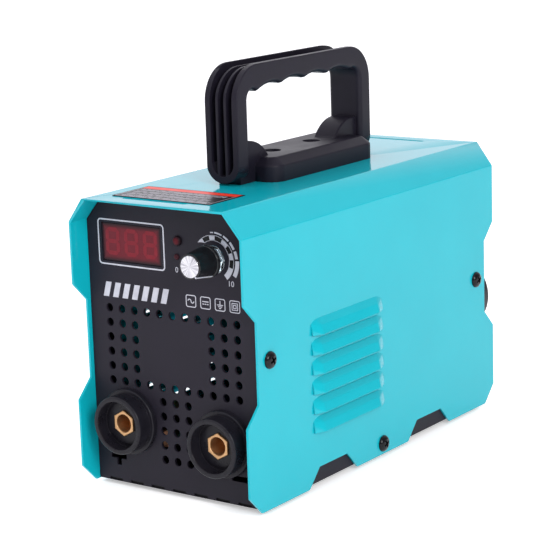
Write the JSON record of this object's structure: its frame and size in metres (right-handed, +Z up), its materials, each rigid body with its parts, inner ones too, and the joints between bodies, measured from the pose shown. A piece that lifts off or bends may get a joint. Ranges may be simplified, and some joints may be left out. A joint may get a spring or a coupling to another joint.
{
  "type": "stick welding inverter",
  "caption": "Compact stick welding inverter: louvred teal case, ribbed carrying handle, front panel with display, current knob and brass output sockets, rear fan, switch and cable gland.",
  "frame": {"origin": "on the floor under the middle of the bounding box, where the rubber feet stand", "axes": "+Z up, -Y out of the front panel, +Y to the rear, +X to the right seen from the front"},
  "size_m": [0.117, 0.2596, 0.218],
  "materials": {
    "teal_paint": "satin powder coat",
    "dark_paint": "fine matt powder coat",
    "black_plastic": "moulded, lightly textured",
    "knob_plastic": "semi-gloss",
    "black_screw": "black oxide",
    "zinc_steel": "zinc plated",
    "silver_cap": "radially brushed",
    "brass": "turned",
    "copper": "rolled copper strip",
    "rubber": "matt",
    "red_window": "polished filter",
    "red_lamp": "diffused",
    "label_print": "printed film",
    "circuit_board": "solder mask",
    "device_black": "moulded resin",
    "aluminium": "extruded",
    "ferrite": "sintered",
    "winding": "varnished copper wire",
    "can_sleeve": "shrink sleeve",
    "rocker_red": "gloss"
  },
  "bodies": {
    "case": {"cover": "teal_paint", "cover_screws": "black_screw", "base_tray": "dark_paint", "front_panel": "dark_paint", "rear_panel": "dark_paint", "panel_screws": "zinc_steel", "rubber_feet": "rubber", "foot_screws": "zinc_steel", "handle": "black_plastic", "handle_grip": "black_plastic", "handle_screws": "zinc_steel", "handle_nuts": "zinc_steel", "top_label": "label_print", "positive_socket_body": "black_plastic", "positive_socket_insert": "brass", "positive_socket_locknut": "black_plastic", "negative_socket_body": "black_plastic", "negative_socket_insert": "brass", "negative_socket_locknut": "black_plastic", "positive_busbar": "copper", "negative_busbar": "copper", "busbar_nuts": "brass", "display_window": "red_window", "display_module": "device_black", "power_led": "red_lamp", "fault_led": "red_lamp", "potentiometer": "zinc_steel", "potentiometer_nut": "zinc_steel", "control_board": "circuit_board", "main_board": "circuit_board", "board_standoffs": "brass", "board_screws": "zinc_steel", "heat_sink_left": "aluminium", "heat_sink_right": "aluminium", "power_transistors": "device_black", "output_diodes": "device_black", "transformer_core": "ferrite", "transformer_winding": "winding", "bus_capacitors": "can_sleeve", "bridge_rectifier": "device_black", "soft_start_relay": "can_sleeve", "fan_frame": "device_black", "fan_guard": "zinc_steel", "fan_screws": "zinc_steel", "power_switch_housing": "knob_plastic", "cable_gland_body": "black_plastic", "cable_gland_nut": "black_plastic", "cable_gland_locknut": "black_plastic"},
    "knob": {"current_knob": "knob_plastic", "knob_cap": "silver_cap", "control_shaft": "zinc_steel"},
    "fan": {"fan_rotor": "device_black"},
    "rocker": {"power_switch_rocker": "rocker_red"}
  },
  "joints": [
    {"name": "current_knob_turn", "type": "hinge", "parent": "case", "child": "knob", "pos_m": [0.0283, -0.12, 0.1287], "axis": [0, -1, 0], "range_deg": [0, 300]},
    {"name": "fan_spin", "type": "hinge", "parent": "case", "child": "fan", "pos_m": [-0.0266, 0.098, 0.037], "axis": [0, 1, 0], "continuous": true},
    {"name": "power_switch_rock", "type": "hinge", "parent": "case", "child": "rocker", "pos_m": [0, 0.107, 0.126], "axis": [1, 0, 0], "range_deg": [0, 22]}
  ]
}
